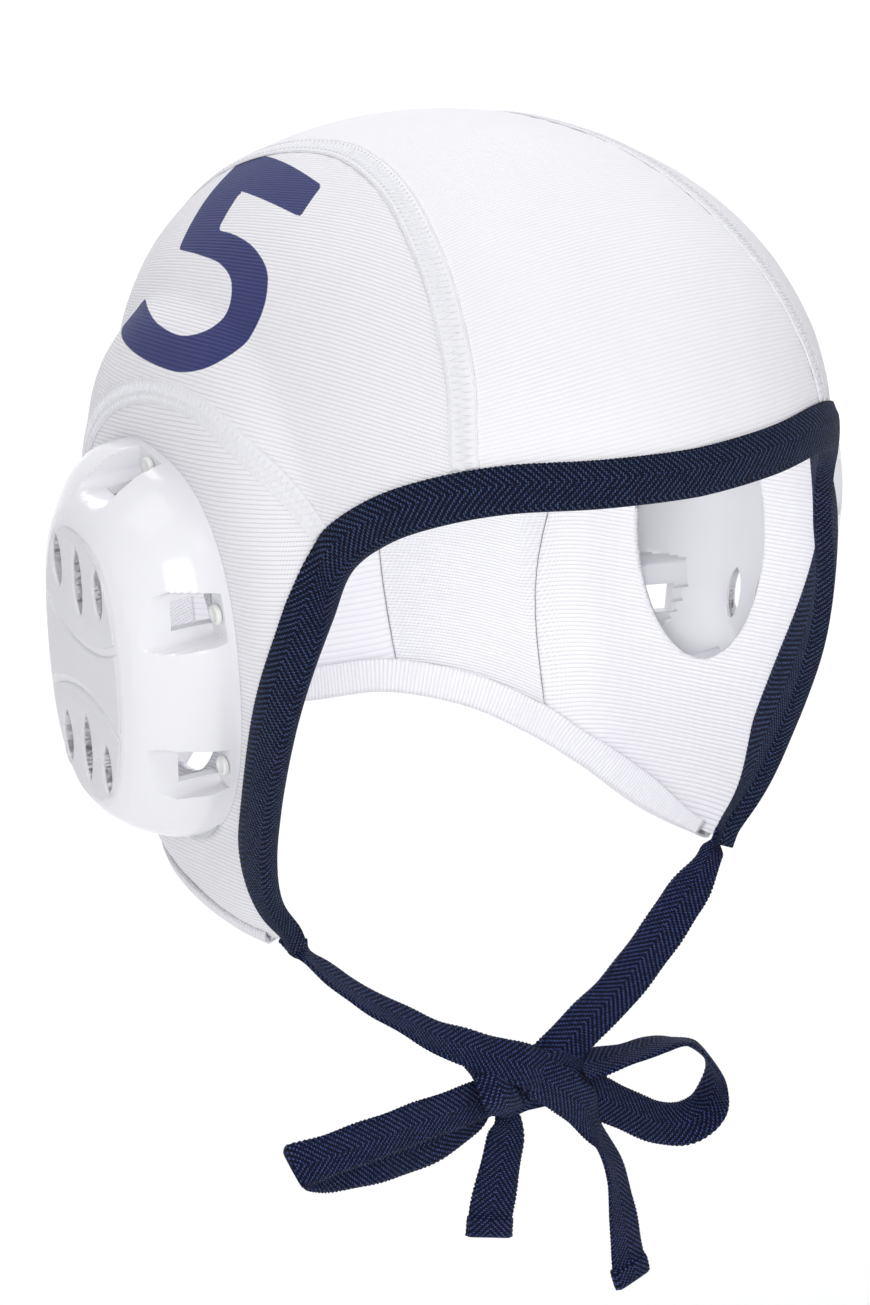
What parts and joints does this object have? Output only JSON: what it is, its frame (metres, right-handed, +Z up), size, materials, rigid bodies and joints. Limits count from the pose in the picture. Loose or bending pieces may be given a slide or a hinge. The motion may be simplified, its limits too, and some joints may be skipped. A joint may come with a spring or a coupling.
{
  "type": "water polo cap",
  "caption": "Knitted water polo cap with herringbone face binding, flatlock seams, moulded ear guards and a chin tie tied in a bow.",
  "frame": {"origin": "inside of the top of the crown, where the wearer's head carries the cap", "axes": "+Z up, the face looks toward -Y, the wearer's left is +X"},
  "size_m": [0.2054, 0.1918, 0.2902],
  "materials": {
    "cloth": "fine ribbed knit, matte",
    "navy_tape": "herringbone twill, matte",
    "guard_shell": "glossy",
    "clear_ring": "satin, cloudy",
    "pin": "satin"
  },
  "bodies": {
    "root": {"crown_panel": "cloth", "face_binding": "navy_tape", "neck_hem": "cloth", "side_panel_right": "cloth", "side_panel_left": "cloth", "ear_panel_right": "cloth", "ear_panel_left": "cloth", "crown_seam_right": "cloth", "crown_seam_left": "cloth", "ear_seam_right": "cloth", "ear_seam_left": "cloth", "chin_tie_right": "navy_tape", "chin_tie_left": "navy_tape", "bow_knot": "navy_tape", "bow_loop_right": "navy_tape", "bow_loop_left": "navy_tape", "bow_tail_right": "navy_tape", "bow_tail_left": "navy_tape", "guard_ring_right": "clear_ring", "ear_guard_right": "guard_shell", "guard_ring_left": "clear_ring", "ear_guard_left": "guard_shell", "guard_pin_front_upper_right": "pin", "guard_pin_front_lower_right": "pin", "guard_pin_top_right": "pin", "guard_pin_back_upper_right": "pin", "guard_pin_back_lower_right": "pin", "guard_pin_bottom_right": "pin", "guard_pin_front_upper_left": "pin", "guard_pin_front_lower_left": "pin", "guard_pin_top_left": "pin", "guard_pin_back_upper_left": "pin", "guard_pin_back_lower_left": "pin", "guard_pin_bottom_left": "pin"}
  },
  "joints": []
}
